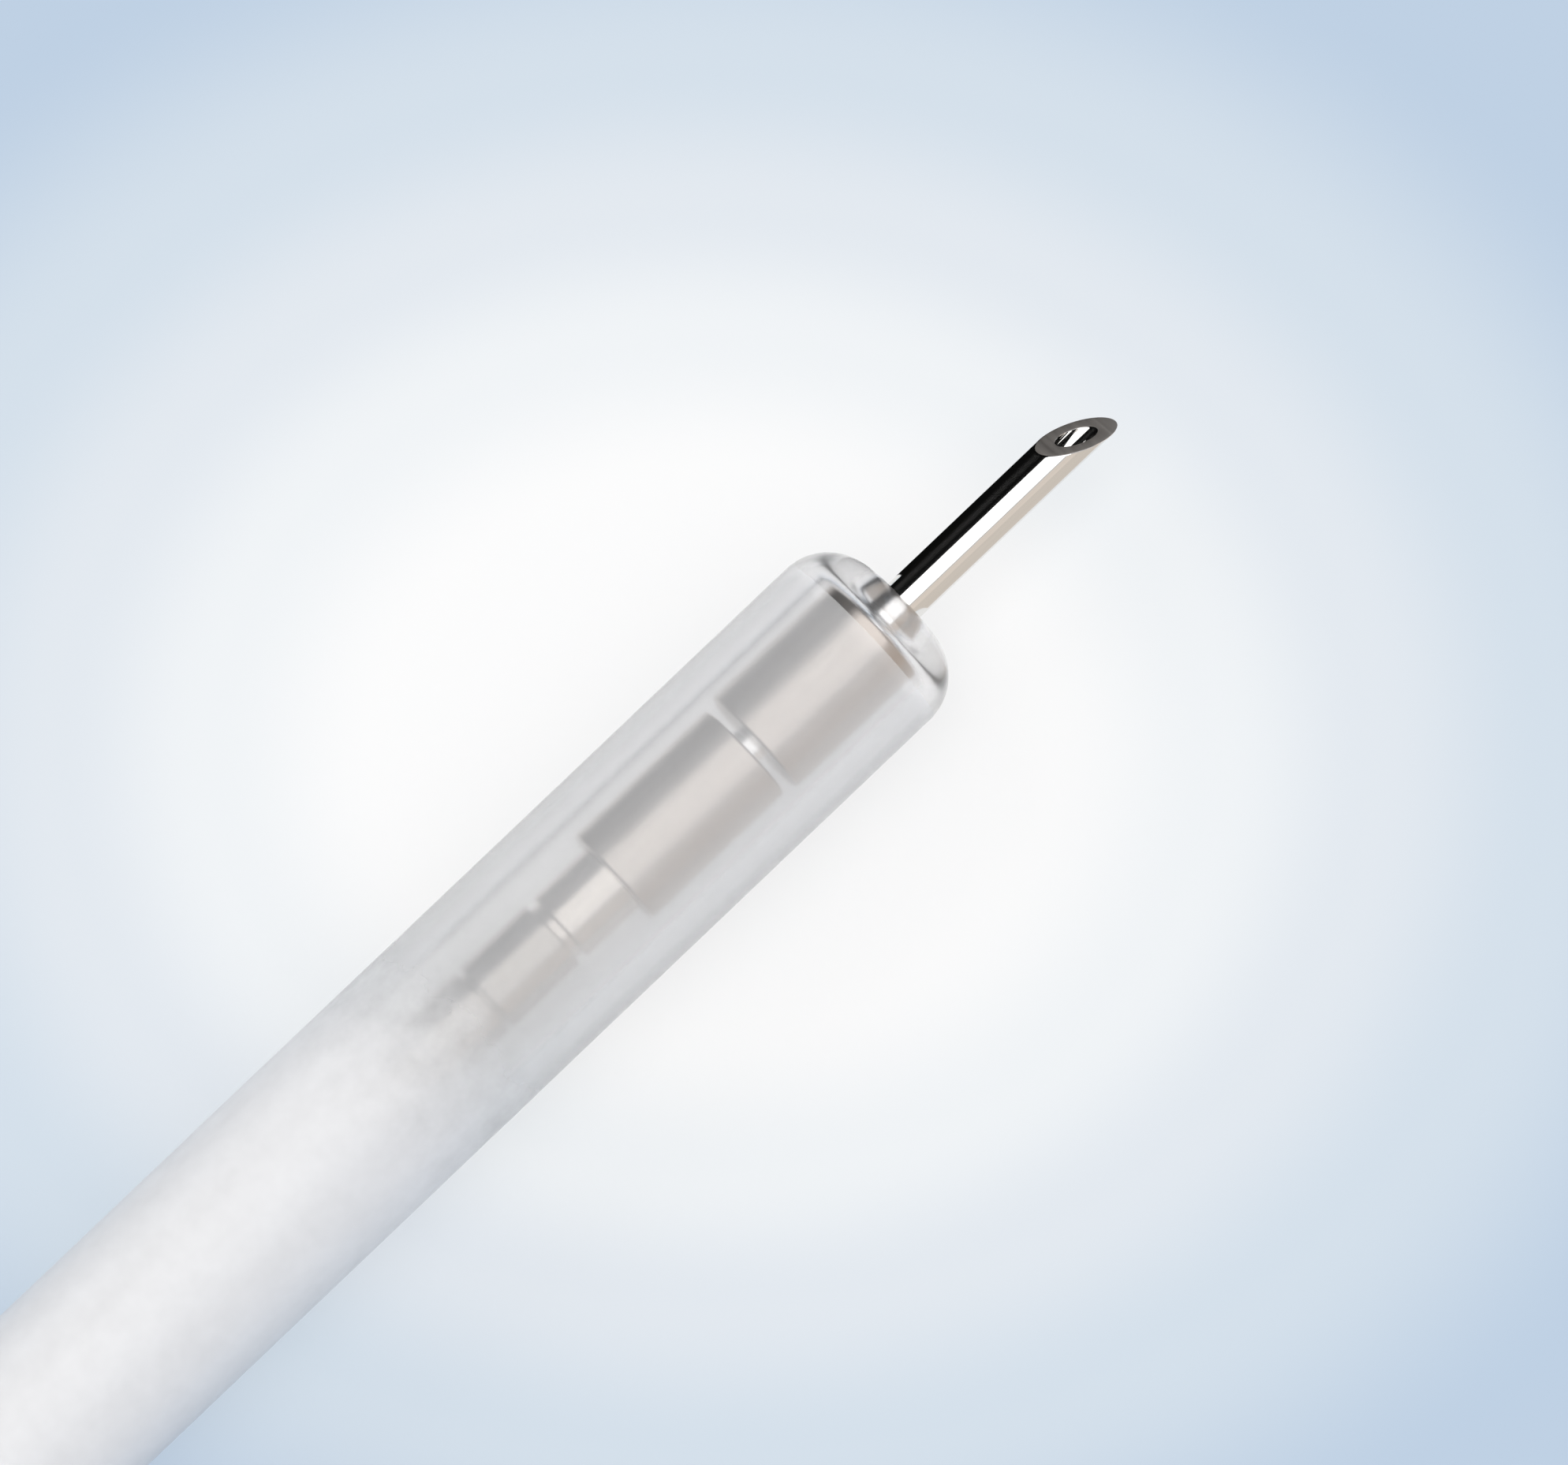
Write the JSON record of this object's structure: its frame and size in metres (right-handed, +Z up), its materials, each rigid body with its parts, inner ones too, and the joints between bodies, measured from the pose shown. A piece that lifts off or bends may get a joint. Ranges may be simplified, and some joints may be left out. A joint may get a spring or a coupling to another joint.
{
  "type": "endoscopic injection needle",
  "caption": "Injection needle for a flexible endoscope: a plunger handle slides a bevelled cannula out of the rounded nose of a long clear sheath.",
  "frame": {"origin": "on the table, under the middle of the handle's box", "axes": "+X along the handle towards its nose, +Y to the left of it, +Z up from the table; the needle's end lies beside the handle and points to -X"},
  "size_m": [0.1701, 0.0702, 0.015],
  "materials": {
    "clear_sheath": "translucent, slightly milky plastic, satin gloss",
    "needle_steel": "bright drawn steel, ground grey on the bevel",
    "sleeve_steel": "satin steel with a warm tint",
    "inner_tube": "milky soft plastic",
    "handle_white": "fine moulded texture",
    "grip_blue": "fine moulded texture, muted blue",
    "relief_rubber": "soft grey elastomer",
    "seal_rubber": "black elastomer",
    "hub_clear": "clear moulded plastic"
  },
  "bodies": {
    "handle": {"handle_body": "handle_white", "nose_cap": "grip_blue", "sheath_ferrule": "sleeve_steel", "strain_relief": "relief_rubber", "sheath_root": "clear_sheath", "rear_bush": "handle_white", "lock_collet": "handle_white", "sheath_run_handle": "clear_sheath", "sheath_coil": "clear_sheath", "sheath_run_tip": "clear_sheath", "sheath_tip": "clear_sheath"},
    "plunger": {"plunger": "handle_white", "plunger_seal": "seal_rubber", "guide_tube": "needle_steel", "inner_tube_rear": "inner_tube", "syringe_hub": "hub_clear"},
    "lock": {"lock_collar": "grip_blue"},
    "needle": {"needle_cannula": "needle_steel", "stop_collar": "sleeve_steel", "crimp_sleeve": "sleeve_steel", "tube_adapter": "sleeve_steel", "inner_tube_front": "inner_tube"}
  },
  "joints": [
    {"name": "plunger_slide", "type": "slide", "parent": "handle", "child": "plunger", "axis": [1, 0, 0], "range_m": [-0.008, 0]},
    {"name": "needle_slide", "type": "slide", "parent": "handle", "child": "needle", "axis": [-1, 0, 0], "range_m": [-0.008, 0]},
    {"name": "lock_turn", "type": "hinge", "parent": "handle", "child": "lock", "pos_m": [-0.04, 0, 0.0075], "axis": [1, 0, 0], "range_deg": [0, 90]}
  ],
  "couplings": [
    {"joint": "needle_slide", "follows": "plunger_slide", "ratio": 1}
  ]
}
